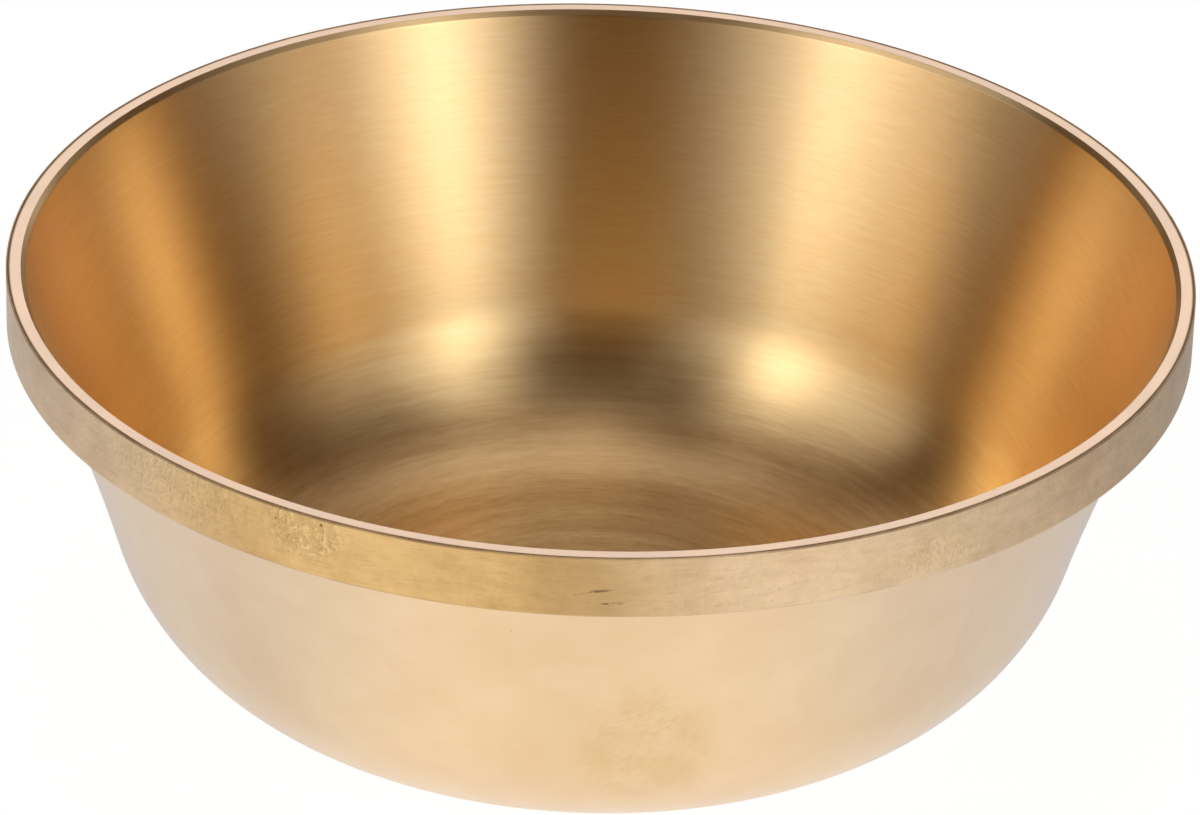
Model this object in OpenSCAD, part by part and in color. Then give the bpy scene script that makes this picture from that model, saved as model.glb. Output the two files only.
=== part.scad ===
/* [Bowl] */
// Width across the finished rim
rim_d = 80; // [64:1:110]
// Height from the base to the lip
bowl_h = 29.3; // [27:0.1:40]
// Thickness of the brass at the lip and in the base
wall_t = 0.9; // [0.6:0.05:1.4]
// Slope of the wall's outside at the mouth, in degrees from upright
mouth_slope = 24.6; // [20:0.2:30]
// Radius of the slight outward sweep of the wall's outside
sweep_r = 127; // [110:1:150]
// Degrees by which the straight inside of the wall is steeper than its outside at the mouth
inside_ease = 3.6; // [2:0.2:4.4]
// Outside radius of the corner between wall and base
corner_r = 14.5; // [10:0.25:16]

/* [Lip] */
// Width that the bevel takes off the inner edge of the lip
lip_bevel_w = 0.2; // [0.1:0.05:0.4]

/* [Rim band] */
// Height of the band's upright face
band_h = 4.3; // [3:0.1:6]
// Width of the band's top edge, where it was turned flush with the lip
band_top_w = 0.1; // [0.06:0.02:0.6]
// Rounding of the band's lower outer edge
band_edge_r = 0.25; // [0.1:0.05:0.6]
// Width of the slit where the two ends of the band meet
butt_gap = 0.12; // [0.08:0.02:0.4]
// Direction of that slit, in degrees round from +X
butt_angle = 12.7; // [0:0.1:360]

/* [Solder] */
// Thickness of the solder between the shell and the band
seam_t = 0.08; // [0.05:0.01:0.2]
// Leg of the solder fillet under the band
fillet_w = 0.3; // [0.15:0.05:0.8]
// How far the solder in the slit stands back from the band's faces
butt_sink = 0.1; // [0.04:0.02:0.2]

/* [Hidden] */

// How far a cutting shape runs past what it cuts
overrun = 1;

rim_r = rim_d / 2;
ledge_z = bowl_h - band_h;

// The seam is cut level by the lip, so it shows there a little wider than it is thick
seam_top_w = seam_t / cos(mouth_slope);
mouth_r = rim_r - band_top_w - seam_top_w;

// The wall's outside is an arc about a point outside the bowl and below its base
sweep_x = mouth_r + sweep_r * cos(mouth_slope);
sweep_z = bowl_h - sweep_r * sin(mouth_slope);

// The corner arc touches the base and the wall's arc
corner_x = sweep_x - sqrt(pow(sweep_r + corner_r, 2) - pow(corner_r - sweep_z, 2));
corner_c = [corner_x, corner_r];
to_sweep = [sweep_x - corner_x, sweep_z - corner_r] / (sweep_r + corner_r);

// Radius of a surface that lies inset inside the wall's outside, at height z
function wall_r(z, inset) = sweep_x - sqrt(pow(sweep_r + inset, 2) - pow(z - sweep_z, 2));

// The wall is straight inside, and it runs into the inner floor round a corner of its own
inner_slope = mouth_slope - inside_ease;
inner_mouth_r = wall_r(bowl_h, wall_t);
inner_corner_r = corner_r - wall_t;
function inner_r(z) = inner_mouth_r - (bowl_h - z) * tan(inner_slope);
inner_corner_c = [inner_r(corner_r) - inner_corner_r / cos(inner_slope), corner_r];
to_inner_wall = [cos(inner_slope), -sin(inner_slope)];

lip_in_r = inner_mouth_r + lip_bevel_w;
ledge_in_r = wall_r(ledge_z, -seam_t);
slit_reach = rim_r - wall_r(ledge_z, 0);

// The side of the wall's outside that faces away from the bowl, grown by grow
module past_wall(grow) {
    translate([sweep_x, sweep_z]) circle(r = sweep_r + grow, $fn = 1440);
}

// What an arc of radius r about c fills between straight down and the direction given
module corner_fan(c, r, direction) {
    far = r + overrun;
    intersection() {
        translate(c) circle(r = r, $fn = 720);
        polygon([c, c - [0, far], c + [far, -far], c + direction * far]);
    }
}

// Half section of the shell before it is hollowed
module filled_bowl() {
    difference() {
        polygon([
            [0, 0],
            [corner_x, 0],
            corner_c,
            corner_c + to_sweep * (corner_r + overrun),
            [mouth_r + overrun, bowl_h],
            [0, bowl_h]
        ]);
        past_wall(0);
    }
    corner_fan(corner_c, corner_r, to_sweep);
}

// Half section of the space inside the bowl, open at the top
module well() {
    top = bowl_h + overrun;
    polygon([
        [0, wall_t],
        [inner_corner_c.x, wall_t],
        inner_corner_c,
        inner_corner_c + to_inner_wall * inner_corner_r,
        [inner_r(top), top],
        [0, top]
    ]);
    corner_fan(inner_corner_c, inner_corner_r, to_inner_wall);
}

// What the bevel takes off the lip's inner edge, at 45 degrees
module lip_bevel() {
    polygon([
        [lip_in_r + overrun, bowl_h + overrun],
        [lip_in_r - wall_t, bowl_h - wall_t],
        [lip_in_r - wall_t, bowl_h + overrun]
    ]);
}

// Turned cup: flat base, round corner, flaring wall and flat lip
module bowl_shell() {
    color([0.86, 0.68, 0.44])
        rotate_extrude($fn = 360)
            difference() {
                filled_bowl();
                well();
                lip_bevel();
            }
}

// Upright strip with its lower outer edge rounded, before its inner face is flared
module band_strip() {
    inner = ledge_in_r - overrun;
    polygon([
        [inner, ledge_z],
        [rim_r - band_edge_r, ledge_z],
        [rim_r - band_edge_r, ledge_z + band_edge_r],
        [rim_r, ledge_z + band_edge_r],
        [rim_r, bowl_h],
        [inner, bowl_h]
    ]);
    intersection() {
        translate([rim_r - band_edge_r, ledge_z + band_edge_r]) circle(r = band_edge_r, $fn = 64);
        translate([rim_r - band_edge_r, ledge_z]) square(band_edge_r);
    }
}

// Upright plate across the band along the slit's direction
module slit_plate(from_r, length, thickness, low_z, height) {
    rotate([0, 0, butt_angle])
        translate([from_r, -thickness / 2, low_z])
            cube([length, thickness, height]);
}

// Hoop of brass strip round the mouth, its ends butted at the slit
module rim_band() {
    color([0.72, 0.60, 0.38])
        difference() {
            rotate_extrude($fn = 360)
                intersection() {
                    band_strip();
                    past_wall(-seam_t);
                }
            slit_plate(ledge_in_r - overrun, rim_r - ledge_in_r + 2 * overrun, butt_gap,
                ledge_z - overrun, band_h + 2 * overrun);
        }
}

// Half section of the solder: the thin film on the wall and the fillet under the band
module solder_section() {
    intersection() {
        difference() {
            past_wall(0);
            past_wall(-seam_t);
        }
        translate([ledge_in_r - overrun, ledge_z]) square([rim_r - ledge_in_r + overrun, band_h]);
    }
    intersection() {
        past_wall(0);
        polygon([
            [ledge_in_r - overrun, ledge_z],
            [ledge_in_r + fillet_w, ledge_z],
            [wall_r(ledge_z - fillet_w, 0), ledge_z - fillet_w],
            [ledge_in_r - overrun, ledge_z - fillet_w]
        ]);
    }
}

// Solder that holds the band on the shell and fills the slit
module solder_seam() {
    color([0.44, 0.31, 0.18])
        union() {
            rotate_extrude($fn = 360) solder_section();
            intersection() {
                slit_plate(ledge_in_r - seam_t, slit_reach - butt_sink, butt_gap,
                    ledge_z, band_h - butt_sink);
                rotate_extrude($fn = 360)
                    intersection() {
                        translate([ledge_in_r - overrun, ledge_z])
                            square([slit_reach + overrun, band_h]);
                        past_wall(0);
                    }
            }
        }
}

bowl_shell();
rim_band();
solder_seam();
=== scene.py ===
"""Looks of the brass offering bowl: turned shell, soldered rim band and the seam between them.

Lengths are in metres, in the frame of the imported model, with the base's centre at the origin.
"""

import math

import bpy
from mathutils import Matrix, Vector


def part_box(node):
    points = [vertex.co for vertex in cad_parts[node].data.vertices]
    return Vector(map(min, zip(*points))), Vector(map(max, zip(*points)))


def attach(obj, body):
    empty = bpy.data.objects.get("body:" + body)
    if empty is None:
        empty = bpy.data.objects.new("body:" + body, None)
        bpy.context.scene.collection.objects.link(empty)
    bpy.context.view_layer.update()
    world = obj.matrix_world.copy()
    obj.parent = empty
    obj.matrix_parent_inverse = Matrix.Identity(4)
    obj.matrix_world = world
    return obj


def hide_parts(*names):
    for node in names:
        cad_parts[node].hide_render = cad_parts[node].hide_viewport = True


MM = 0.001

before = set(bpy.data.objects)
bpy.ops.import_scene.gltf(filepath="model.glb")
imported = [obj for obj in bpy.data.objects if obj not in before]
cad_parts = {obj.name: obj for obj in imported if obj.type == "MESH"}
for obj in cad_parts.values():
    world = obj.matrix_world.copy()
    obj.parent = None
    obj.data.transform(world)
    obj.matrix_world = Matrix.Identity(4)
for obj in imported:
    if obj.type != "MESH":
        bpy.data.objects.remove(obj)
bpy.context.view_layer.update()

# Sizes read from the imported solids
SHELL_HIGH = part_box("bowl_shell")[1]
BAND_LOW, BAND_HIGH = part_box("rim_band")
BOWL_HEIGHT = SHELL_HIGH.z
MOUTH_RADIUS = SHELL_HIGH.x
RIM_RADIUS = BAND_HIGH.x
LEDGE_HEIGHT = BAND_LOW.z

# Sizes of the brass work that the boxes don't hold
WALL_THICKNESS = 0.9 * MM
MOUTH_SLOPE = math.radians(24.6)
INNER_SLOPE = math.radians(21)
SWEEP_RADIUS = 127 * MM
CORNER_RADIUS = 14.5 * MM
LIP_BEVEL = 0.2 * MM
BAND_EDGE_RADIUS = 0.25 * MM
SEAM_THICKNESS = 0.08 * MM
SEAM_FILLET = 0.3 * MM
BUTT_ANGLE = math.radians(12.7)
BUTT_GAP = 0.12 * MM
BUTT_SINK = 0.1 * MM
BROKEN_EDGE = 0.05 * MM
TURNS = 480
SLIT_TURN = BUTT_GAP / RIM_RADIUS

# The wall's outside is an arc about a point outside the bowl and below its base
SWEEP_CENTRE = Vector((
    MOUTH_RADIUS + SWEEP_RADIUS * math.cos(MOUTH_SLOPE),
    BOWL_HEIGHT - SWEEP_RADIUS * math.sin(MOUTH_SLOPE),
))
CORNER_X = SWEEP_CENTRE.x - math.sqrt(
    (SWEEP_RADIUS + CORNER_RADIUS) ** 2 - (CORNER_RADIUS - SWEEP_CENTRE.y) ** 2)
CORNER_CENTRE = Vector((CORNER_X, CORNER_RADIUS))
TO_SWEEP = SWEEP_CENTRE - CORNER_CENTRE
TANGENT_ANGLE = math.atan2(TO_SWEEP.y, TO_SWEEP.x)
INNER_CORNER_RADIUS = CORNER_RADIUS - WALL_THICKNESS

# Surfaces of the shell, in the order of its materials
OUTSIDE, LIP, INSIDE = range(3)

# Brass and solder, each from its darker to its paler tone
CLEAN_BRASS = (0.85, 0.555, 0.245), (0.965, 0.745, 0.395)
UPPER_BRASS = (0.85, 0.56, 0.26), (0.965, 0.74, 0.41)
BOTTOM_BRASS = (0.70, 0.405, 0.165), (0.99, 0.705, 0.355)
FACED_BRASS = (0.94, 0.67, 0.47), (1.0, 0.81, 0.66)
SATIN_BRASS = (0.93, 0.65, 0.365), (1.0, 0.745, 0.44)
ROSY_BRASS = (0.70, 0.48, 0.265), (0.97, 0.715, 0.445)
# Darker, yellower brass for the band's front: painted shade
SHADED_FRONT_BRASS = (0.59, 0.35, 0.12), (0.88, 0.57, 0.235)
OLD_SOLDER = (0.20, 0.11, 0.05), (0.40, 0.24, 0.11)

# Colours of the marks and of painted highlight, reflection and shade, from the brightest to the darkest
# Painted highlight on the band's crinkles
CRINKLE_HIGHLIGHT = (1.0, 0.73, 0.30)
WORN_PATCH = (0.82, 0.53, 0.20)
# Painted dark reflection at the middle of the band's front
BAND_DARK_REFLECTION = (0.55, 0.33, 0.12)
CRINKLE_DIRT = (0.50, 0.31, 0.10)
SCUFF_DIRT = (0.46, 0.26, 0.10)
LACQUER_SPECK = (0.45, 0.3, 0.15)
# Painted shade along the seam of lip and band, on the lip's outer edge and on the band's top
LIP_SEAM_SHADE = (0.38, 0.22, 0.10)
BAND_SEAM_SHADE = (0.32, 0.18, 0.08)
INSIDE_SPECK = (0.3, 0.17, 0.07)
PIT_DIRT = (0.26, 0.13, 0.04)
CUT_SHADOW = (0.2, 0.12, 0.05)

# Camera, fitted to the ellipses of the photographed rim
CAMERA_DISTANCE = 482 * MM
CAMERA_RISE = math.radians(27.71)
CAMERA_ROLL = math.radians(1.77)
CAMERA_AIM = Vector((0.2 * MM, 0, 18.04 * MM))
SENSOR_WIDTH_MM = 36
LENS_MM = 214.6

# Dim warm light of the room between the panels
ROOM_LIGHT = (0.05, 0.022, 0.004)

# Each panel, in degrees from the camera's side towards +X and up from the floor:
# azimuth, half width, side softness, elevation, half height, edge softness; and then its strength.
# All rows but the third, fourth and twelfth are rounded results of a least-squares fit, run outside
# this script, to the brightness of the brass in the photograph. Those three were set one by one.
STUDIO_PANELS = (
    (34.2, 11.2, 16.7, 20.7, 4.5, 16.9, 6.5),
    (-47.2, 14.5, 25, 22, 9, 25, 3.4),
    (38, 6, 6, 34, 4, 7, 2.4),
    (-56, 7, 7, 38, 5, 8, 2.0),
    (53, 11, 6, 58.5, 18.6, 15.4, 1.0),
    (31, 4.2, 1, 50.4, 6, 15, 0.82),
    (-19, 3, 1, 56.7, 4, 4, 0.47),
    (65, 19, 25, 19.4, 31, 1, 0.53),
    (-71, 28, 1, 38.7, 21.5, 24.5, 0.83),
    (171, 29.5, 1.4, 51, 41, 1, 0.65),
    (179, 35.5, 1, 32.6, 5, 2, 0.84),
    (178, 30, 20, 62, 6, 8, 0.85),
    (-145.5, 7.5, 6, 41.7, 5.8, 14.4, 1.06),
    (0, 180, 1, 90, 7, 7, 0.4),
)
PANEL_EDGE_STEPS = 6

# The floor lies a little below the base, so that the two faces don't fight. Its white shines with
# this strength, the bowl's shadow dims only the rest of it, and metal sees it cooler at the sides.
FLOOR_DROP = 0.02 * MM
FLOOR_HALF_WIDTH = 3
FLOOR_WHITE = 1.1
SHINING_SHARE = 0.86
SIDE_TINT = (0.93, 0.99, 1.12)


def wall_radius(height, inset=0.0):
    """Radius of the surface that lies inset inside the wall's outside, at this height."""
    reach = SWEEP_RADIUS + inset
    return SWEEP_CENTRE.x - math.sqrt(reach ** 2 - (height - SWEEP_CENTRE.y) ** 2)


def wall_angle(height, inset=0.0):
    """Angle about the sweep's centre at which that surface reaches this height."""
    return math.pi - math.asin((height - SWEEP_CENTRE.y) / (SWEEP_RADIUS + inset))


def arc(centre, radius, start, end, steps):
    """Points along an arc in the section plane, both ends included."""
    points = []
    for i in range(steps + 1):
        angle = start + (end - start) * i / steps
        points.append(centre + radius * Vector((math.cos(angle), math.sin(angle))))
    return points


def spread(start, end, steps, crowded=True):
    """Points along a straight stretch, even or crowded towards both of its ends, which are left out."""
    points = []
    for i in range(1, steps):
        share = (1 - math.cos(math.pi * i / steps)) / 2 if crowded else i / steps
        points.append(start.lerp(end, share))
    return points


def softened(before, corner, after, radius=BROKEN_EDGE, steps=5):
    """A corner of an outline, rounded by this radius."""
    to_before = (before - corner).normalized()
    to_after = (after - corner).normalized()
    half = to_before.angle(to_after) / 2
    reach = radius / math.tan(half)
    centre = corner + (to_before + to_after).normalized() * (radius / math.sin(half))
    first, last = corner + to_before * reach - centre, corner + to_after * reach - centre
    turn = first.angle_signed(last)
    points = []
    for i in range(steps + 1):
        points.append(centre + Matrix.Rotation(-turn * i / steps, 2) @ first)
    return points


def inner_radius(height):
    """Radius of the wall's straight inside at this height."""
    mouth = wall_radius(BOWL_HEIGHT, WALL_THICKNESS)
    return mouth - (BOWL_HEIGHT - height) * math.tan(INNER_SLOPE)


def outside_surface():
    """Outline of the shell's outside, from the axis under the base to the lip."""
    floor_edge = Vector((CORNER_X, 0))
    points = [Vector((0, 0))] + spread(Vector((0, 0)), floor_edge, 16)
    points += arc(CORNER_CENTRE, CORNER_RADIUS, -math.pi / 2, TANGENT_ANGLE, 36)
    wall = arc(SWEEP_CENTRE, SWEEP_RADIUS, math.pi + TANGENT_ANGLE, wall_angle(BOWL_HEIGHT), 36)
    return points + wall[1:]


def inside_surface(top):
    """Outline of the shell's inside, from the axis to this point on the straight wall."""
    centre_x = inner_radius(CORNER_RADIUS) - INNER_CORNER_RADIUS / math.cos(INNER_SLOPE)
    centre = Vector((centre_x, CORNER_RADIUS))
    middle = Vector((0, WALL_THICKNESS))
    floor_edge = Vector((centre.x, WALL_THICKNESS))
    points = [middle] + spread(middle, floor_edge, 40, crowded=False)
    points += arc(centre, INNER_CORNER_RADIUS, -math.pi / 2, -INNER_SLOPE, 40)
    return points + spread(points[-1], top, 48, crowded=False)


def bevel_foot():
    """Point where the lip's 45 degree bevel meets the straight inside of the wall."""
    drop = LIP_BEVEL / (1 - math.tan(INNER_SLOPE))
    return Vector((inner_radius(BOWL_HEIGHT - drop), BOWL_HEIGHT - drop))


def shell_outline():
    """Closed outline of the shell from under the base, over the lip, to the inner floor.

    Comes with the surface that each of its stretches belongs to. The lip's bevel counts as inside.
    """
    lip_out = Vector((MOUTH_RADIUS, BOWL_HEIGHT))
    lip_in = Vector((inner_radius(BOWL_HEIGHT) + LIP_BEVEL, BOWL_HEIGHT))
    foot = bevel_foot()
    outside = outside_surface()
    inside = inside_surface(foot)
    lip_edge = softened(lip_out, lip_in, foot)
    foot_edge = softened(lip_in, foot, inside[-1], radius=4 * BROKEN_EDGE)
    lip = spread(lip_out, lip_edge[0], 8) + lip_edge
    inner = spread(lip_edge[-1], foot_edge[0], 4) + foot_edge
    inner += [p for p in reversed(inside) if p.y < foot_edge[-1].y]
    surfaces = [OUTSIDE] * (len(outside) - 1) + [LIP] * len(lip) + [INSIDE] * (len(inner) + 1)
    return outside + lip + inner, surfaces


def band_outline():
    """Closed outline of the rim band, round its wedge section."""
    low_in = Vector((wall_radius(LEDGE_HEIGHT, -SEAM_THICKNESS), LEDGE_HEIGHT))
    high_in = Vector((wall_radius(BOWL_HEIGHT, -SEAM_THICKNESS), BOWL_HEIGHT))
    low_out = Vector((RIM_RADIUS, LEDGE_HEIGHT))
    high_out = Vector((RIM_RADIUS, BOWL_HEIGHT))
    low_edge = softened(low_in, low_out, high_out, radius=BAND_EDGE_RADIUS, steps=10)
    high_edge = softened(low_out, high_out, high_in, radius=BROKEN_EDGE / 2, steps=3)
    outline = [low_in] + spread(low_in, low_edge[0], 10) + low_edge
    outline += spread(low_edge[-1], high_edge[0], 40) + high_edge
    inner = arc(SWEEP_CENTRE, SWEEP_RADIUS - SEAM_THICKNESS, wall_angle(BOWL_HEIGHT, -SEAM_THICKNESS),
                wall_angle(LEDGE_HEIGHT, -SEAM_THICKNESS), 12)
    return outline + inner[:-1]


def seam_outline():
    """Closed outline of the solder: the film between shell and band, and the fillet below."""
    low = LEDGE_HEIGHT - SEAM_FILLET
    fillet_out = Vector((wall_radius(LEDGE_HEIGHT, -SEAM_THICKNESS) + SEAM_FILLET, LEDGE_HEIGHT))
    fillet_low = Vector((wall_radius(low), low))
    film_in = arc(SWEEP_CENTRE, SWEEP_RADIUS, wall_angle(low), wall_angle(BOWL_HEIGHT), 12)
    film_out = arc(SWEEP_CENTRE, SWEEP_RADIUS - SEAM_THICKNESS, wall_angle(BOWL_HEIGHT, -SEAM_THICKNESS),
                   wall_angle(LEDGE_HEIGHT, -SEAM_THICKNESS), 12)
    return film_in + film_out + [fillet_out] + spread(fillet_out, fillet_low, 4)


def slit_fill_outline():
    """Closed outline of the solder that fills the band's slit, a little below its faces."""
    top = BOWL_HEIGHT - BUTT_SINK
    reach = SWEEP_RADIUS - SEAM_THICKNESS / 2
    inner = arc(SWEEP_CENTRE, reach, wall_angle(top), wall_angle(LEDGE_HEIGHT), 12)
    low_out = Vector((RIM_RADIUS - BUTT_SINK, LEDGE_HEIGHT))
    high_out = Vector((RIM_RADIUS - BUTT_SINK, top))
    low_edge = softened(inner[-1], low_out, high_out, radius=BAND_EDGE_RADIUS, steps=6)
    return inner + low_edge + spread(low_edge[-1], high_out, 8) + [high_out]


def turned(outline, start=0.0, turn=2 * math.pi):
    """Vertices and faces of a closed outline turned about the axis, with flat ends if it stops short."""
    full = turn >= 2 * math.pi
    steps = TURNS if full else max(1, round(TURNS * turn / (2 * math.pi)))
    rings = steps if full else steps + 1
    vertices, columns = [], []
    for point in outline:
        if point.x < 1e-9:
            columns.append([len(vertices)] * rings)
            vertices.append((0, 0, point.y))
            continue
        columns.append(list(range(len(vertices), len(vertices) + rings)))
        for i in range(rings):
            angle = start + turn * i / steps
            vertices.append((point.x * math.cos(angle), point.x * math.sin(angle), point.y))
    faces = []
    for low, high in zip(columns, columns[1:] + columns[:1]):
        for i in range(steps):
            j = (i + 1) % rings
            corners = [low[i], low[j], high[j], high[i]]
            face = [v for k, v in enumerate(corners) if v != corners[k - 1]]
            if len(face) > 2:
                faces.append(face)
    if not full:
        faces.append([column[0] for column in columns])
        faces.append([column[-1] for column in reversed(columns)])
    return vertices, faces


def lathe(name, *turnings):
    """Smooth-shaded piece of one or more turnings, with normals that follow its larger faces."""
    vertices, faces = [], []
    for more_vertices, more_faces in turnings:
        first = len(vertices)
        vertices += more_vertices
        faces += [[first + v for v in face] for face in more_faces]
    mesh = bpy.data.meshes.new(name)
    mesh.from_pydata(vertices, [], faces)
    mesh.validate()
    mesh.shade_smooth()
    piece = bpy.data.objects.new(name, mesh)
    bpy.context.scene.collection.objects.link(piece)
    weighted = piece.modifiers.new("even_normals", "WEIGHTED_NORMAL")
    weighted.weight = 100
    weighted.keep_sharp = True
    return piece


def make_camera():
    """The photographed view: a long lens from the front, about 28 degrees above the rim."""
    camera = bpy.data.objects.new("camera", bpy.data.cameras.new("camera"))
    camera.data.sensor_width = SENSOR_WIDTH_MM
    camera.data.lens = LENS_MM
    camera.data.clip_start = 10 * MM
    back, up = CAMERA_DISTANCE * math.cos(CAMERA_RISE), CAMERA_DISTANCE * math.sin(CAMERA_RISE)
    camera.location = (0, -back, BOWL_HEIGHT + up)
    look = (CAMERA_AIM - camera.location).to_track_quat("-Z", "Y").to_matrix()
    camera.rotation_mode = "QUATERNION"
    camera.rotation_quaternion = (look @ Matrix.Rotation(CAMERA_ROLL, 3, "Z")).to_quaternion()
    bpy.context.scene.collection.objects.link(camera)
    bpy.context.scene.camera = camera


def finish_piece(piece, node, slot, *materials):
    """Puts the piece in place of its CAD node, on the one body."""
    for material in materials:
        piece.data.materials.append(material)
    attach(piece, "root")
    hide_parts(node)


def add(tree, kind, inputs=None, **settings):
    """Adds a node; an input that is a socket is linked, and any other value is set."""
    made = tree.nodes.new(kind)
    for name, value in settings.items():
        setattr(made, name, value)
    for key, value in (inputs or {}).items():
        if isinstance(value, bpy.types.NodeSocket):
            tree.links.new(value, made.inputs[key])
        else:
            made.inputs[key].default_value = value
    return made


def maths(tree, operation, *values):
    """Output of a Math node with these inputs."""
    return add(tree, "ShaderNodeMath", dict(enumerate(values)), operation=operation).outputs[0]


def ramp(tree, value, start, end, low=0.0, high=1.0, smooth=True):
    """Value brought from the stretch start to end into the stretch low to high, and clamped."""
    made = add(tree, "ShaderNodeMapRange", {0: value, 1: start, 2: end, 3: low, 4: high})
    made.interpolation_type = "SMOOTHSTEP" if smooth else "LINEAR"
    return made.outputs[0]


def blend(tree, share, first, second):
    """Colour between first and second."""
    made = add(tree, "ShaderNodeMix", {0: share}, data_type="RGBA")
    for socket, colour in ((made.inputs[6], first), (made.inputs[7], second)):
        if isinstance(colour, bpy.types.NodeSocket):
            tree.links.new(colour, socket)
        else:
            socket.default_value = (*colour, 1)
    return made.outputs[2]


def new_group(name, inputs, output):
    """Node group with number inputs at these values and one number output."""
    tree = bpy.data.node_groups.new(name, "ShaderNodeTree")
    for label, value in inputs.items():
        tree.interface.new_socket(label, in_out="INPUT", socket_type="NodeSocketFloat").default_value = value
    tree.interface.new_socket(output, in_out="OUTPUT", socket_type="NodeSocketFloat")
    return tree, tree.nodes.new("NodeGroupInput").outputs, tree.nodes.new("NodeGroupOutput").inputs


def use(tree, group, **values):
    """Output of a node group placed in this tree; underscores in a name stand for spaces."""
    made = add(tree, "ShaderNodeGroup", node_tree=group)
    for name, value in values.items():
        socket = made.inputs[name.replace("_", " ")]
        if isinstance(value, bpy.types.NodeSocket):
            tree.links.new(value, socket)
        else:
            socket.default_value = value
    return made.outputs[0]


def turned_place(tree):
    """Sockets for distance from the axis, height, and direction round the axis as a unit vector."""
    place = add(tree, "ShaderNodeTexCoord").outputs["Object"]
    parts = add(tree, "ShaderNodeSeparateXYZ", {0: place}).outputs
    flat = add(tree, "ShaderNodeCombineXYZ", {0: parts[0], 1: parts[1]}).outputs[0]
    radius = add(tree, "ShaderNodeVectorMath", {0: flat}, operation="LENGTH").outputs["Value"]
    round_axis = add(tree, "ShaderNodeVectorMath", {0: flat}, operation="NORMALIZE").outputs[0]
    return radius, parts[2], round_axis


def lathe_lines_group():
    """Fine lines that the tool and the abrasive leave round the axis."""
    tree, given, out = new_group(
        "lathe_lines", {"Lines per mm": 5, "Round": 16, "Detail": 3, "Start": 0}, "Lines")
    radius, height, round_axis = turned_place(tree)
    along = maths(tree, "MULTIPLY", maths(tree, "ADD", radius, height), 1 / MM)
    across = maths(tree, "MULTIPLY_ADD", along, given["Lines per mm"], given["Start"])
    spun = add(tree, "ShaderNodeVectorMath", {0: round_axis, 3: given["Round"]}, operation="SCALE")
    up = add(tree, "ShaderNodeCombineXYZ", {2: across}).outputs[0]
    place = add(tree, "ShaderNodeVectorMath", {0: spun.outputs[0], 1: up}).outputs[0]
    noise = add(tree, "ShaderNodeTexNoise", {"Vector": place, "Scale": 1, "Detail": given["Detail"],
                                             "Roughness": 0.62})
    tree.links.new(noise.outputs[0], out[0])
    return tree


def cloudy_group():
    """Soft patches of tone, from 0 to 1."""
    tree, given, out = new_group("cloudy_tone", {"Size mm": 8, "Spread": 0.2, "Start": 0}, "Tone")
    place = add(tree, "ShaderNodeTexCoord").outputs["Object"]
    scale = maths(tree, "DIVIDE", 1 / MM, given["Size mm"])
    moved = add(tree, "ShaderNodeVectorMath", {0: place, 1: given["Start"]}).outputs[0]
    noise = add(tree, "ShaderNodeTexNoise", {"Vector": moved, "Scale": scale, "Detail": 3, "Roughness": 0.6})
    low = maths(tree, "SUBTRACT", 0.5, given["Spread"])
    high = maths(tree, "ADD", 0.5, given["Spread"])
    tree.links.new(ramp(tree, noise.outputs[0], low, high), out[0])
    return tree


def pits_group():
    """Small round pits in some of the cells of a scatter."""
    tree, given, out = new_group("pits", {"Spacing mm": 1, "Share": 0.2, "Breadth": 0.2}, "Pits")
    place = add(tree, "ShaderNodeTexCoord").outputs["Object"]
    scale = maths(tree, "DIVIDE", 1 / MM, given["Spacing mm"])
    cells = add(tree, "ShaderNodeTexVoronoi", {"Vector": place, "Scale": scale})
    dice = add(tree, "ShaderNodeSeparateColor", {0: cells.outputs["Color"]}).outputs
    breadth = maths(tree, "MULTIPLY", given["Breadth"], maths(tree, "ADD", dice[1], 0.3))
    round_pit = ramp(tree, cells.outputs["Distance"], breadth, maths(tree, "MULTIPLY", breadth, 0.3))
    chosen = maths(tree, "LESS_THAN", dice[0], given["Share"])
    tree.links.new(maths(tree, "MULTIPLY", round_pit, chosen), out[0])
    return tree


def scuffs_group():
    """Short straight scuffs at a slant to the axis."""
    tree, given, out = new_group(
        "scuffs", {"Slant": 0.3, "Length mm": 2, "Breadth mm": 0.06, "Share": 0.1, "Start": 0}, "Scuffs")
    place = add(tree, "ShaderNodeTexCoord").outputs["Object"]
    parts = add(tree, "ShaderNodeSeparateXYZ", {0: place}).outputs
    turn = maths(tree, "ARCTAN2", parts[1], parts[0])
    across = maths(tree, "MULTIPLY", turn, RIM_RADIUS / MM)
    up = maths(tree, "MULTIPLY", parts[2], 1 / MM)
    cosine, sine = maths(tree, "COSINE", given["Slant"]), maths(tree, "SINE", given["Slant"])
    along = maths(tree, "MULTIPLY_ADD", across, cosine, maths(tree, "MULTIPLY", up, sine))
    aside = maths(tree, "MULTIPLY", up, cosine)
    aside = maths(tree, "SUBTRACT", aside, maths(tree, "MULTIPLY", across, sine))
    place = add(tree, "ShaderNodeCombineXYZ", {
        0: maths(tree, "DIVIDE", along, given["Length mm"]),
        1: maths(tree, "DIVIDE", aside, given["Breadth mm"]),
        2: given["Start"],
    }).outputs[0]
    noise = add(tree, "ShaderNodeTexNoise", {"Vector": place, "Scale": 1, "Detail": 1, "Roughness": 0.4})
    low = maths(tree, "SUBTRACT", 0.78, maths(tree, "MULTIPLY", given["Share"], 0.3))
    tree.links.new(ramp(tree, noise.outputs[0], low, maths(tree, "ADD", low, 0.06)), out[0])
    return tree


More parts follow.
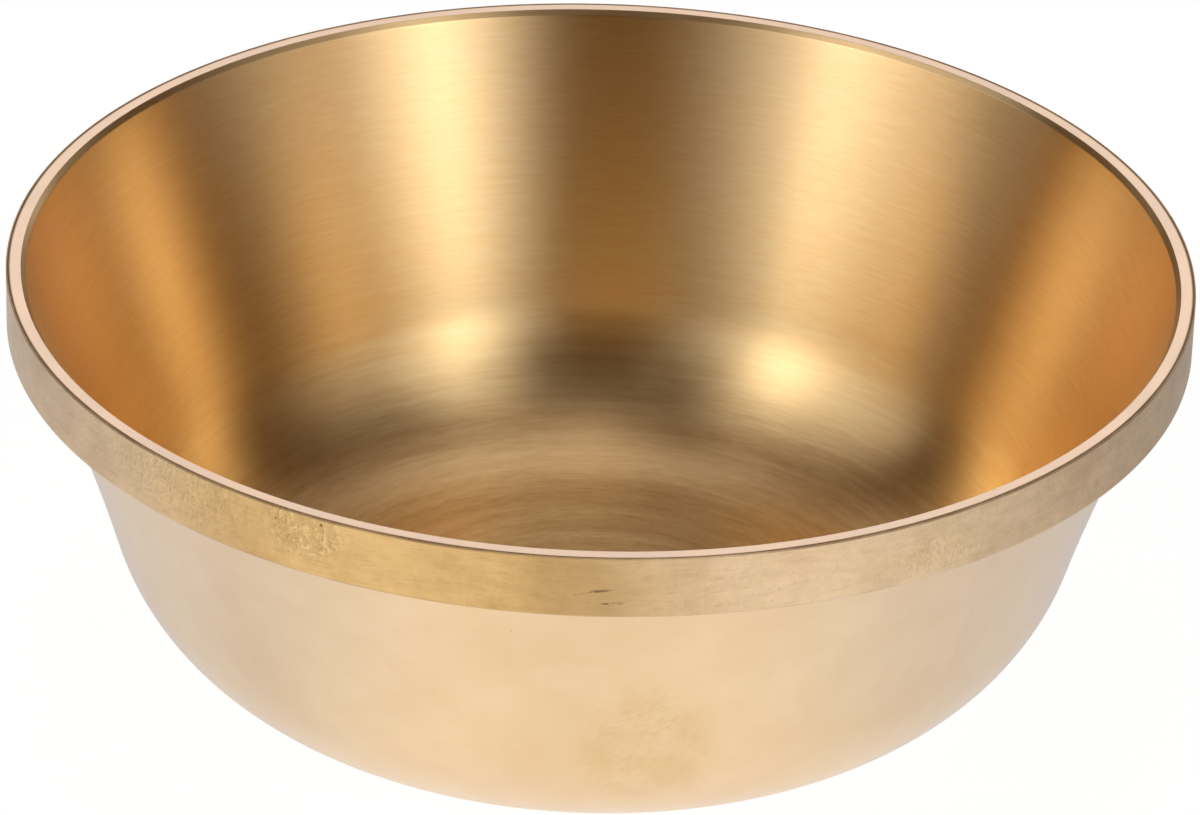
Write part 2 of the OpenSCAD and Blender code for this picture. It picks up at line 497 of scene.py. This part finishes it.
def spot_group():
    """Soft oval spot at a place round the axis, in degrees from +X, and a height in mm."""
    tree, given, out = new_group(
        "spot", {"Azimuth": 0, "Height mm": 0, "Half width": 3, "Half height mm": 1}, "Spot")
    place = add(tree, "ShaderNodeTexCoord").outputs["Object"]
    parts = add(tree, "ShaderNodeSeparateXYZ", {0: place}).outputs
    turn = maths(tree, "MULTIPLY", maths(tree, "ARCTAN2", parts[1], parts[0]), 180 / math.pi)
    aside = maths(tree, "WRAP", maths(tree, "SUBTRACT", turn, given["Azimuth"]), 180, -180)
    above = maths(tree, "SUBTRACT", maths(tree, "MULTIPLY", parts[2], 1 / MM), given["Height mm"])
    reach = add(tree, "ShaderNodeCombineXYZ", {
        0: maths(tree, "DIVIDE", aside, given["Half width"]),
        1: maths(tree, "DIVIDE", above, given["Half height mm"]),
    }).outputs[0]
    oval = add(tree, "ShaderNodeVectorMath", {0: reach}, operation="LENGTH").outputs["Value"]
    tree.links.new(ramp(tree, oval, 1.0, 0.4), out[0])
    return tree


def seam_shade_group():
    """Painted shade beside the seam of lip and band: cloudy, and fainter along the middle of the front."""
    tree, given, out = new_group("seam_shade", {"Beside seam": 1, "Front": 0, "Clouds": 1}, "Shade")
    kept = maths(tree, "MULTIPLY_ADD", given["Front"], -0.6, 0.85)
    kept = maths(tree, "MULTIPLY", kept, maths(tree, "MULTIPLY_ADD", given["Clouds"], 0.35, 0.65))
    tree.links.new(maths(tree, "MULTIPLY", given["Beside seam"], kept), out[0])
    return tree


def new_metal(name):
    """Material with a fully metallic shader; comes with its tree and shader."""
    material = bpy.data.materials.new(name)
    material.use_nodes = True
    shader = material.node_tree.nodes["Principled BSDF"]
    shader.inputs["Metallic"].default_value = 1
    return material, material.node_tree, shader


def brush_round(tree, shader, strength):
    """Stretches the gloss across lines that run round the axis."""
    shader.inputs["Anisotropic"].default_value = strength
    shader.inputs["Anisotropic Rotation"].default_value = 0.25
    tangent = add(tree, "ShaderNodeTangent", direction_type="RADIAL", axis="Z")
    tree.links.new(tangent.outputs[0], shader.inputs["Tangent"])


def lacquer(shader, weight, roughness):
    """Clear lacquer over the metal."""
    shader.inputs["Coat Weight"].default_value = weight
    shader.inputs["Coat Roughness"].default_value = roughness


def relief(tree, shader, height, depth):
    """Gives the surface a relief this deep at height 1."""
    bump = add(tree, "ShaderNodeBump", {"Strength": 1, "Distance": depth, "Height": height})
    tree.links.new(bump.outputs[0], shader.inputs["Normal"])


def add_up(tree, *parts):
    """Sum of sockets, each with its weight."""
    total = 0.0
    for value, weight in parts:
        total = maths(tree, "MULTIPLY_ADD", value, weight, total)
    return total


def seam_shade(tree, beside_seam):
    """Places the painted shade in the strip beside the seam."""
    front = use(tree, SPOT, Azimuth=-87, Height_mm=29.3, Half_width=16, Half_height_mm=9)
    clouds = use(tree, CLOUDY, Size_mm=3, Spread=0.2, Start=41)
    return use(tree, SEAM_SHADE, Beside_seam=beside_seam, Front=front, Clouds=clouds)


def inside_brass():
    """Inside of the shell: clean brass, brushed round on the lathe, under a thin film of lacquer."""
    material, tree, shader = new_metal("brushed_inside")
    lacquer(shader, 0.5, 0.3)
    height = turned_place(tree)[1]
    upper = ramp(tree, height, 12 * MM, 27 * MM)
    low = ramp(tree, height, 13 * MM, 7 * MM)
    bottom = ramp(tree, height, 6 * MM, 2 * MM)
    fine = use(tree, LATHE_LINES, Lines_per_mm=3.4, Round=15, Detail=3)
    coarse = use(tree, LATHE_LINES, Lines_per_mm=1.0, Round=1.6, Detail=4, Start=31)
    clouds = use(tree, CLOUDY, Size_mm=6, Spread=0.25)
    specks = use(tree, PITS, Spacing_mm=3.2, Share=0.12, Breadth=0.05)
    drawn = ramp(tree, coarse, 0.34, 0.66, smooth=False)
    worn = maths(tree, "MULTIPLY", drawn, maths(tree, "MULTIPLY_ADD", low, 0.7, 0.3))
    brushed = ramp(tree, fine, 0.28, 0.72, smooth=False)
    tone = add_up(tree, (brushed, 0.45), (worn, 0.45), (clouds, 0.15), (1.0, -0.02))
    colour = blend(tree, upper, blend(tree, tone, *CLEAN_BRASS), blend(tree, tone, *UPPER_BRASS))
    colour = blend(tree, bottom, colour, blend(tree, tone, *BOTTOM_BRASS))
    colour = blend(tree, maths(tree, "MULTIPLY", specks, 0.7), colour, INSIDE_SPECK)
    tree.links.new(colour, shader.inputs["Base Color"])
    rough = add_up(tree, (brushed, 0.02), (worn, 0.02), (clouds, 0.015), (1.0, 0.278))
    tree.links.new(rough, shader.inputs["Roughness"])
    brush_round(tree, shader, 0.9)
    relief(tree, shader, add_up(tree, (fine, 0.5), (coarse, 1.0)), 0.004 * MM)
    return material


def lip_brass():
    """Faced lip: pale, with the marks of the facing cut, and painted shade on its outer edge beside the
    band.
    """
    material, tree, shader = new_metal("faced_lip")
    fine = use(tree, LATHE_LINES, Lines_per_mm=9, Round=7, Detail=3, Start=7)
    clouds = use(tree, CLOUDY, Size_mm=5, Spread=0.3, Start=3)
    tone = add_up(tree, (fine, 0.6), (clouds, 0.4))
    colour = blend(tree, tone, *FACED_BRASS)
    # Painted shade on the lip's rounded outer edge, beside the band
    edge = ramp(tree, turned_place(tree)[0], MOUTH_RADIUS - 0.12 * MM, MOUTH_RADIUS - 0.04 * MM)
    colour = blend(tree, seam_shade(tree, edge), colour, LIP_SEAM_SHADE)
    tree.links.new(colour, shader.inputs["Base Color"])
    tree.links.new(add_up(tree, (fine, 0.1), (clouds, 0.1), (1.0, 0.3)), shader.inputs["Roughness"])
    brush_round(tree, shader, 0.4)
    relief(tree, shader, fine, 0.003 * MM)
    return material


def outside_brass():
    """Outside of the shell: satin brass under clear lacquer, with faint stains and scuffs."""
    material, tree, shader = new_metal("satin_outside")
    lacquer(shader, 1.0, 0.4)
    shader.inputs["Sheen Weight"].default_value = 0.15
    shader.inputs["Sheen Roughness"].default_value = 0.3
    fine = use(tree, LATHE_LINES, Lines_per_mm=5, Round=18, Detail=3, Start=11)
    clouds = use(tree, CLOUDY, Size_mm=9, Spread=0.3, Start=5)
    stains = use(tree, CLOUDY, Size_mm=3, Spread=0.12, Start=9)
    patch = use(tree, SPOT, Azimuth=-83.5, Height_mm=11, Half_width=11, Half_height_mm=8)
    scuffs = use(tree, SCUFFS, Slant=0.5, Length_mm=0.9, Breadth_mm=0.16, Share=0.9, Start=2)
    specks = use(tree, PITS, Spacing_mm=1.7, Share=0.12, Breadth=0.07)
    worn = maths(tree, "MULTIPLY", patch, add_up(tree, (scuffs, 0.25), (stains, 0.3), (1.0, 0.12)))
    worn = maths(tree, "MAXIMUM", worn, maths(tree, "MULTIPLY", stains, 0.12))
    colour = blend(tree, worn, blend(tree, clouds, *SATIN_BRASS), WORN_PATCH)
    colour = blend(tree, maths(tree, "MULTIPLY", specks, 0.4), colour, LACQUER_SPECK)
    tree.links.new(colour, shader.inputs["Base Color"])
    tree.links.new(add_up(tree, (fine, 0.06), (clouds, 0.06), (1.0, 0.38)), shader.inputs["Roughness"])
    brush_round(tree, shader, 0.4)
    relief(tree, shader, add_up(tree, (fine, 0.3), (specks, -0.6), (scuffs, -0.2)), 0.004 * MM)
    return material


def band_brass():
    """Rim band: dull strip, darker and yellower in front with painted shade, with clusters of pits, and soft
    level scuffs.
    """
    material, tree, shader = new_metal("dull_band")
    lacquer(shader, 0.4, 0.4)
    brush_round(tree, shader, 0.3)
    streaks = use(tree, LATHE_LINES, Lines_per_mm=1.8, Round=14, Detail=3, Start=17)
    clouds = use(tree, CLOUDY, Size_mm=5, Spread=0.2, Start=13)
    blotches = use(tree, CLOUDY, Size_mm=1.1, Spread=0.18, Start=21)
    crinkles = use(tree, CLOUDY, Size_mm=0.4, Spread=0.18, Start=33)
    dots = use(tree, PITS, Spacing_mm=0.42, Share=0.22, Breadth=0.26)
    level = use(tree, SCUFFS, Slant=0.1, Length_mm=1.6, Breadth_mm=0.15, Share=0.45, Start=8)
    upright = use(tree, SCUFFS, Slant=1.4, Length_mm=1.1, Breadth_mm=0.12, Share=0.55, Start=4)
    left = use(tree, SPOT, Azimuth=-117, Height_mm=28.2, Half_width=5.5, Half_height_mm=2.8)
    far_left = use(tree, SPOT, Azimuth=-131, Height_mm=28, Half_width=13, Half_height_mm=3)
    right = use(tree, SPOT, Azimuth=-73, Height_mm=27, Half_width=10, Half_height_mm=3)
    far_right = use(tree, SPOT, Azimuth=-57, Height_mm=26.8, Half_width=6, Half_height_mm=1.6)
    nick = use(tree, SPOT, Azimuth=-89.4, Height_mm=26.4, Half_width=3.2, Half_height_mm=1)
    # Painted shade: the band's front is made darker and yellower
    shaded_front = use(tree, SPOT, Azimuth=-109, Height_mm=27, Half_width=34, Half_height_mm=9)
    # Painted dark reflection at the middle of the band's front
    dark_reflection = use(tree, SPOT, Azimuth=-91, Height_mm=27, Half_width=7, Half_height_mm=4)
    worked = maths(tree, "MAXIMUM", left, add_up(tree, (far_left, 0.35), (right, 0.15), (far_right, 0.35)))
    pitted = maths(tree, "MULTIPLY", dots, maths(tree, "ADD", worked, 0.08))
    # The crinkles raise the relief and carry a painted highlight
    crinkle_and_highlight = maths(tree, "MULTIPLY", crinkles, maths(tree, "ADD", worked, 0.12))
    gaps = maths(tree, "MULTIPLY", maths(tree, "SUBTRACT", 1.0, crinkles), worked)
    stood = maths(tree, "MULTIPLY", upright, maths(tree, "MULTIPLY", far_left, 0.7))
    scuffed = maths(tree, "MAXIMUM", stood, maths(tree, "MULTIPLY", level, 0.4))
    cut = maths(tree, "MULTIPLY", nick, ramp(tree, streaks, 0.56, 0.66))
    # Painted shade along the band's top, under the lip
    under_lip = ramp(tree, turned_place(tree)[1], BOWL_HEIGHT - 0.14 * MM, BOWL_HEIGHT - 0.08 * MM)
    tone = add_up(tree, (clouds, 0.4), (blotches, 0.3), (ramp(tree, streaks, 0.3, 0.7), 0.3))
    colour = blend(tree, shaded_front, blend(tree, tone, *ROSY_BRASS), blend(tree, tone, *SHADED_FRONT_BRASS))
    # Marks, with a painted dark reflection and a painted highlight among them
    for mark, share, mark_colour in (
        (dark_reflection, 0.35, BAND_DARK_REFLECTION),
        (crinkle_and_highlight, 0.5, CRINKLE_HIGHLIGHT),
        (gaps, 0.1, CRINKLE_DIRT),
        (pitted, 0.9, PIT_DIRT),
        (scuffed, 0.4, SCUFF_DIRT),
        (cut, 1.0, CUT_SHADOW),
    ):
        colour = blend(tree, maths(tree, "MULTIPLY", mark, share), colour, mark_colour)
    # Painted shade under the lip
    colour = blend(tree, seam_shade(tree, under_lip), colour, BAND_SEAM_SHADE)
    tree.links.new(colour, shader.inputs["Base Color"])
    tree.links.new(add_up(tree, (streaks, 0.12), (blotches, 0.1), (1.0, 0.36)), shader.inputs["Roughness"])
    height = add_up(tree, (streaks, 0.5), (blotches, 0.6), (crinkle_and_highlight, 3.0), (pitted, -1.5),
                    (scuffed, -0.8), (cut, -1.0))
    relief(tree, shader, height, 0.02 * MM)
    return material


def dark_solder():
    """Solder in the joint: dull, with darkened flux left on it."""
    material, tree, shader = new_metal("darkened_solder")
    clouds = use(tree, CLOUDY, Size_mm=2.5, Spread=0.25, Start=25)
    pits = use(tree, PITS, Spacing_mm=0.3, Share=0.4, Breadth=0.3)
    tree.links.new(blend(tree, clouds, *OLD_SOLDER), shader.inputs["Base Color"])
    tree.links.new(add_up(tree, (clouds, 0.15), (1.0, 0.4)), shader.inputs["Roughness"])
    relief(tree, shader, add_up(tree, (clouds, 0.4), (pits, -0.5)), 0.01 * MM)
    return material


def soft_edge(distance, half_width, softness):
    """Share of a panel's light at this distance from its middle, from 1 inside it to 0 beyond its edge."""
    share = (half_width + softness - abs(distance)) / (2 * softness)
    share = min(max(share, 0), 1)
    return share * share * (3 - 2 * share)


def soft_stretch(tree, place, whole, middle, half_width, softness):
    """Soft-edged stretch about a middle, on a scale of this many degrees whose own middle is 0."""
    made = add(tree, "ShaderNodeValToRGB", {0: place})
    stops = made.color_ramp.elements
    reach = half_width + softness
    inner = max(half_width - softness, 0)
    distances = [reach - (reach - inner) * i / PANEL_EDGE_STEPS for i in range(PANEL_EDGE_STEPS + 1)]
    for distance in distances + [-d for d in distances if d > 0]:
        position = 0.5 + (middle + distance) / whole
        if 0 < position < 1:
            stops.new(position)
    for stop in stops:
        distance = (stop.position - 0.5) * whole - middle
        stop.color = (1, 1, 1, soft_edge(distance, half_width, softness))
    return made.outputs["Alpha"]


def light_studio():
    """Two soft boxes beside the camera, weaker panels over and behind the bowl, and a dark room.

    The camera sees white all round, and metal mirrors the panels and the dark room.
    """
    world = bpy.data.worlds.new("studio")
    bpy.context.scene.world = world
    world.use_nodes = True
    tree = world.node_tree
    direction = add(tree, "ShaderNodeTexCoord").outputs["Generated"]
    parts = add(tree, "ShaderNodeSeparateXYZ", {0: direction}).outputs
    turn = maths(tree, "ARCTAN2", parts[0], maths(tree, "MULTIPLY", parts[1], -1.0))
    from_front = maths(tree, "MULTIPLY_ADD", turn, 0.5 / math.pi, 0.5)
    from_back = maths(tree, "FRACT", maths(tree, "ADD", from_front, 0.5))
    upward = maths(tree, "MULTIPLY_ADD", maths(tree, "ARCSINE", parts[2]), 1 / math.pi, 0.5)
    light = 0.0
    for azimuth, half_width, side_softness, elevation, half_height, edge_softness, strength in STUDIO_PANELS:
        panel = soft_stretch(tree, upward, 180, elevation, half_height, edge_softness)
        if half_width < 180:
            behind = abs(azimuth) > 90
            sides = soft_stretch(tree, from_back if behind else from_front, 360,
                                 azimuth % 360 - 180 if behind else azimuth, half_width, side_softness)
            panel = maths(tree, "MULTIPLY", panel, sides)
        light = maths(tree, "MULTIPLY_ADD", panel, strength, light)
    rays = add(tree, "ShaderNodeLightPath").outputs
    seen = maths(tree, "MAXIMUM", rays["Is Camera Ray"], rays["Is Transmission Ray"])
    room = {i: maths(tree, "ADD", light, dim) for i, dim in enumerate(ROOM_LIGHT)}
    room = add(tree, "ShaderNodeCombineColor", room).outputs[0]
    tree.links.new(blend(tree, seen, room, (1, 1, 1)), tree.nodes["Background"].inputs["Color"])


def floor_light(tree, mirrored):
    """Strength and tint of the floor's white: even to the camera, and shaped where metal mirrors it.

    The body mirrors the floor near the bowl, and the band mirrors it further away. In the mirror the
    floor is brighter in front, under the soft boxes, and dimmer towards both sides and behind.
    """
    place = add(tree, "ShaderNodeTexCoord").outputs["Object"]
    x, y, _ = add(tree, "ShaderNodeSeparateXYZ", {0: place}).outputs
    aside = maths(tree, "ABSOLUTE", x)
    away = ramp(tree, turned_place(tree)[0], 46 * MM, 64 * MM)
    near = maths(tree, "SUBTRACT", 1.0, away)
    front = ramp(tree, y, -20 * MM, -90 * MM)
    behind = ramp(tree, y, -30 * MM, 20 * MM)
    sides = maths(tree, "MAXIMUM", ramp(tree, x, -5 * MM, -36 * MM), ramp(tree, x, 5 * MM, 50 * MM))
    far_left, far_right = ramp(tree, x, -70 * MM, -100 * MM), ramp(tree, x, 10 * MM, 100 * MM)
    in_front = maths(tree, "MULTIPLY", front, add_up(tree, (sides, 0.71), (away, -0.25)))
    far_dim = add_up(tree, (far_left, -0.4), (far_right, -0.48), (behind, -0.2))
    near_dim = ramp(tree, aside, 12 * MM, 36 * MM, 0.0, -0.2)
    shaped = add_up(tree, (in_front, 1.0), (maths(tree, "MULTIPLY", away, far_dim), 1.0),
                    (maths(tree, "MULTIPLY", near, near_dim), 1.0), (1.0, -0.02))
    beside = maths(tree, "MULTIPLY", ramp(tree, aside, 10 * MM, 38 * MM), mirrored)
    beside = maths(tree, "MULTIPLY", beside, maths(tree, "MULTIPLY_ADD", away, -0.5, 1.0))
    strength = maths(tree, "MULTIPLY_ADD", mirrored, shaped, FLOOR_WHITE)
    return strength, blend(tree, beside, (1, 1, 1), SIDE_TINT)


def pale_floor():
    """Paper that is white to the camera, varies by place in the metal, and keeps the bowl's shadow.

    From below the camera looks through it at the underside.
    """
    material = bpy.data.materials.new("pale_floor")
    material.use_nodes = True
    tree = material.node_tree
    paper = tree.nodes["Principled BSDF"]
    paper.inputs["Base Color"].default_value = (0.9, 0.9, 0.9, 1)
    paper.inputs["Roughness"].default_value = 0.9
    rays = add(tree, "ShaderNodeLightPath").outputs
    seen = maths(tree, "MAXIMUM", rays["Is Camera Ray"], rays["Is Transmission Ray"])
    seen = maths(tree, "MAXIMUM", seen, rays["Is Glossy Ray"])
    strength, tint = floor_light(tree, rays["Is Glossy Ray"])
    white = add(tree, "ShaderNodeEmission", {"Color": tint, "Strength": strength}).outputs[0]
    share = maths(tree, "MULTIPLY", seen, SHINING_SHARE)
    from_above = add(tree, "ShaderNodeMixShader", {0: share, 1: paper.outputs[0], 2: white}).outputs[0]
    clear = add(tree, "ShaderNodeBsdfTransparent").outputs[0]
    back = add(tree, "ShaderNodeNewGeometry").outputs["Backfacing"]
    from_below = maths(tree, "MULTIPLY", back, rays["Is Camera Ray"])
    surface = add(tree, "ShaderNodeMixShader", {0: from_below, 1: from_above, 2: clear}).outputs[0]
    tree.links.new(surface, tree.nodes["Material Output"].inputs["Surface"])
    return material


def lay_floor():
    """Plain pale floor under the bowl."""
    floor = bpy.data.objects.new("floor", bpy.data.meshes.new("floor"))
    reach = FLOOR_HALF_WIDTH
    square = ((-reach, -reach), (reach, -reach), (reach, reach), (-reach, reach))
    floor.data.from_pydata([(x, y, -FLOOR_DROP) for x, y in square], [], [(0, 1, 2, 3)])
    floor.data.materials.append(pale_floor())
    bpy.context.scene.collection.objects.link(floor)


LATHE_LINES, CLOUDY, PITS = lathe_lines_group(), cloudy_group(), pits_group()
SCUFFS, SPOT, SEAM_SHADE = scuffs_group(), spot_group(), seam_shade_group()

make_camera()

outline, surfaces = shell_outline()
shell = lathe("turned_shell", turned(outline))
finish_piece(shell, "bowl_shell", "shell_brass", outside_brass(), lip_brass(), inside_brass())
shell.data.polygons.foreach_set("material_index", [surface for surface in surfaces for _ in range(TURNS)])

hoop = turned(band_outline(), BUTT_ANGLE + SLIT_TURN / 2, 2 * math.pi - SLIT_TURN)
band = lathe("rim_band_hoop", hoop)
finish_piece(band, "rim_band", "band_brass", band_brass())

slit_fill = turned(slit_fill_outline(), BUTT_ANGLE - SLIT_TURN / 2, SLIT_TURN)
seam = lathe("solder_line", turned(seam_outline()), slit_fill)
finish_piece(seam, "solder_seam", "solder", dark_solder())

bpy.context.scene.view_settings.view_transform = "Standard"
light_studio()
lay_floor()
